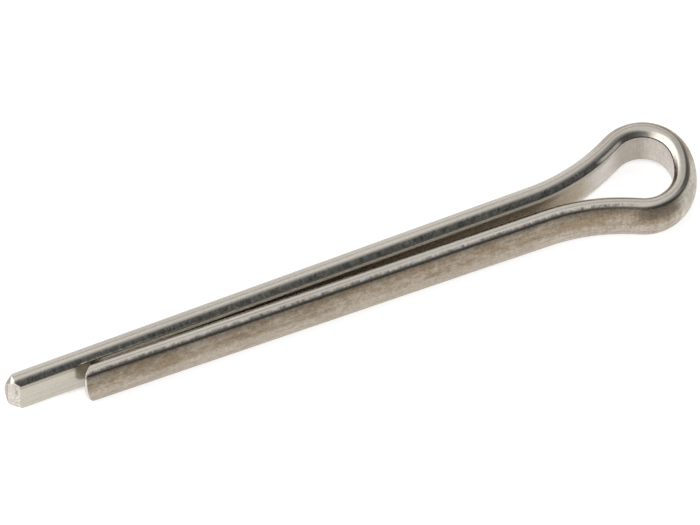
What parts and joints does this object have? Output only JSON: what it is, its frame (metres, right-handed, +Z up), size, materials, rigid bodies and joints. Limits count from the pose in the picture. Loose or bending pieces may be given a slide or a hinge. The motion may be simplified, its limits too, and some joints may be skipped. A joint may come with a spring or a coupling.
{
  "type": "cotter pin",
  "caption": "Cotter pin of half-round wire bent round into an eye, its two straight legs lying flat to flat, with one leg longer and both ends cut on a slant.",
  "frame": {"origin": "bottom centre of the pin's box, as it lies on its side", "axes": "+X along the shank towards the eye, +Y towards the long leg's side, +Z up, square to the plane that the wire is bent in"},
  "size_m": [0.0416, 0.0066, 0.003],
  "materials": {
    "wire": "drawn and tumbled stainless steel wire, satin, with fine marks along its length"
  },
  "bodies": {
    "root": {"cotter_pin": "wire"}
  },
  "joints": []
}
